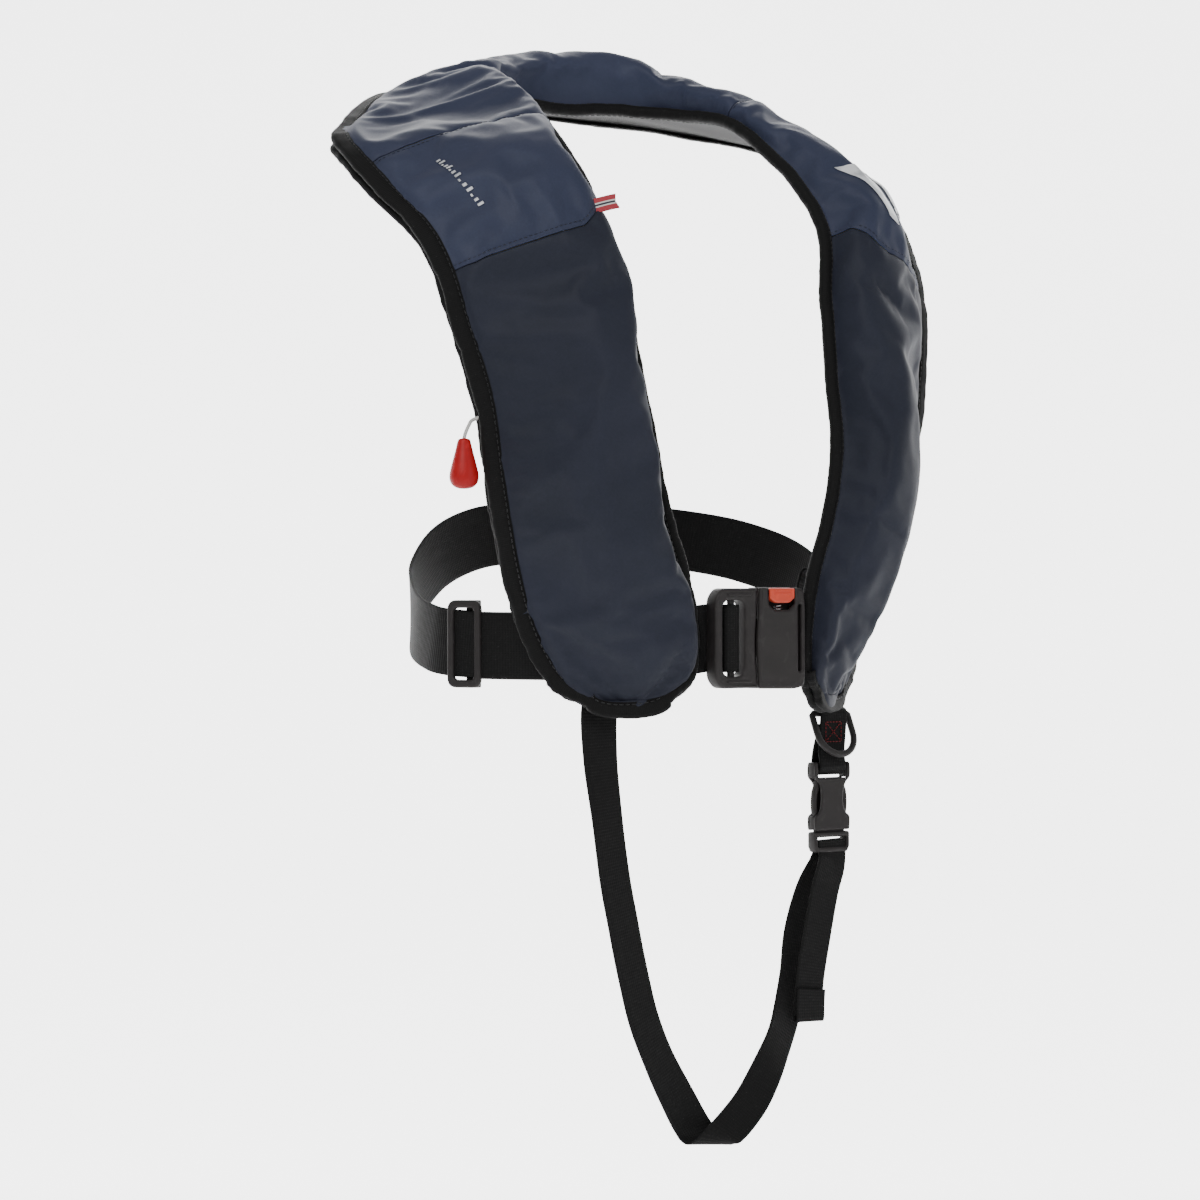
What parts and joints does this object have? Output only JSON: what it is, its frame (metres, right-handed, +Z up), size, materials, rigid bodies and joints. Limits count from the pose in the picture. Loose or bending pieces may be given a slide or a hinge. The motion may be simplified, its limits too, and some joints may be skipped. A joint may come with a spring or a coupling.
{
  "type": "inflatable life jacket",
  "caption": "Slim horseshoe-shaped inflatable life jacket, packed, with padded navy lobes, waist belt with centre buckle, crotch strap and pull handle.",
  "frame": {"origin": "middle of the neck opening, where the collar sits on the wearer", "axes": "+Z up along the wearer, -Y the way the wearer faces, +X to the wearer's left"},
  "size_m": [0.4766, 0.3217, 0.7826],
  "materials": {
    "cover_cloth": "coated navy nylon, satin",
    "cover_cloth_upper": "smooth navy nylon, satin",
    "lining_cloth": "black mesh-backed nylon",
    "binding_tape": "black woven edge tape",
    "webbing": "black polyester webbing",
    "bladder_cloth": "yellow coated fabric",
    "hook_tape": "black hook-and-loop tape",
    "black_plastic": "fine-textured dark grey nylon",
    "button_plastic": "orange-red acetal",
    "red_plastic": "satin red moulded plastic",
    "gas_steel": "grey coated steel",
    "inflator_plastic": "amber moulded plastic",
    "bright_steel": "stainless",
    "tube_rubber": "black rubber",
    "whistle_plastic": "white moulded plastic",
    "cord_white": "white braided cord",
    "tab_ribbon": "red, white and black striped ribbon",
    "stitch_red": "dark red thread",
    "reflective": "retro-reflective grey print"
  },
  "bodies": {
    "jacket": {"cover_collar": "cover_cloth_upper", "cover_right_upper": "cover_cloth_upper", "cover_right_lower": "cover_cloth", "cover_left_upper": "cover_cloth_upper", "cover_left_lower": "cover_cloth", "lining_collar": "lining_cloth", "lining_right": "lining_cloth", "lining_left": "lining_cloth", "lining_binding": "binding_tape", "cover_binding": "binding_tape", "inner_binding": "binding_tape", "bladder": "bladder_cloth", "burst_strips": "hook_tape", "inflator_body": "inflator_plastic", "lever_pin": "bright_steel", "pull_cord": "cord_white", "oral_tube": "tube_rubber", "whistle": "whistle_plastic", "waist_belt": "webbing", "belt_end": "webbing", "belt_loop_right": "webbing", "belt_loop_left": "webbing", "back_strap": "webbing", "buckle_housing": "black_plastic", "button_spring": "bright_steel", "anchor_webbing": "webbing", "bar_tacks": "stitch_red", "clip_socket": "black_plastic", "crotch_strap": "webbing", "striped_tab": "tab_ribbon", "reflective_mark": "reflective"},
    "buckle_tongue": {"buckle_tongue": "black_plastic"},
    "release_button": {"release_button": "button_plastic"},
    "belt_slider": {"belt_slider": "black_plastic"},
    "pull_handle": {"pull_handle": "red_plastic"},
    "inflator_lever": {"inflator_lever": "black_plastic"},
    "clip_plug": {"clip_plug": "black_plastic", "strap_tail": "webbing"},
    "clip_arm_right": {"clip_arm_right": "black_plastic"},
    "clip_arm_left": {"clip_arm_left": "black_plastic"},
    "d_ring": {"d_ring": "black_plastic"},
    "tube_cap": {"tube_cap": "red_plastic"},
    "gas_cylinder": {"gas_cylinder": "gas_steel"}
  },
  "joints": [
    {"name": "tongue_slide", "type": "slide", "parent": "jacket", "child": "buckle_tongue", "axis": [-1, 0, 0], "range_m": [0, 0.005], "deforming": ["belt_end"]},
    {"name": "button_press", "type": "slide", "parent": "jacket", "child": "release_button", "axis": [0, 0, -1], "range_m": [0, 0.004], "stiffness_N_per_m": 400, "springref_m": -0.001, "deforming": ["button_spring"]},
    {"name": "slider_shift", "type": "slide", "parent": "jacket", "child": "belt_slider", "axis": [0.4182, -0.9084, 0], "range_m": [-0.008, 0.008]},
    {"name": "handle_pull", "type": "slide", "parent": "jacket", "child": "pull_handle", "axis": [0, 0, -1], "range_m": [0, 0.03], "deforming": ["pull_cord"]},
    {"name": "lever_swing", "type": "hinge", "parent": "jacket", "child": "inflator_lever", "pos_m": [-0.13607, -0.13238, -0.25113], "axis": [-0.4716, -0.8686, -0.1524], "range_deg": [0, 75]},
    {"name": "clip_release", "type": "slide", "parent": "jacket", "child": "clip_plug", "axis": [0, 0, -1], "range_m": [0, 0.045], "deforming": ["crotch_strap"]},
    {"name": "right_arm_squeeze", "type": "hinge", "parent": "clip_plug", "child": "clip_arm_right", "pos_m": [0.094, -0.111, -0.517], "axis": [0, 1, 0], "range_deg": [0, 6], "stiffness_Nm_per_rad": 0.05},
    {"name": "left_arm_squeeze", "type": "hinge", "parent": "clip_plug", "child": "clip_arm_left", "pos_m": [0.114, -0.111, -0.517], "axis": [0, -1, 0], "range_deg": [0, 6], "stiffness_Nm_per_rad": 0.05},
    {"name": "d_ring_swing", "type": "hinge", "parent": "jacket", "child": "d_ring", "pos_m": [0.107, -0.108, -0.436], "axis": [-1, 0, 0], "range_deg": [0, 38]},
    {"name": "tube_cap_pull", "type": "slide", "parent": "jacket", "child": "tube_cap", "axis": [0.1119, 0.1943, 0.9745], "range_m": [0, 0.012]},
    {"name": "cylinder_turn", "type": "hinge", "parent": "jacket", "child": "gas_cylinder", "pos_m": [-0.12201, -0.1475, -0.26092], "axis": [-0.2762, -0.0187, 0.9609], "continuous": true}
  ]
}
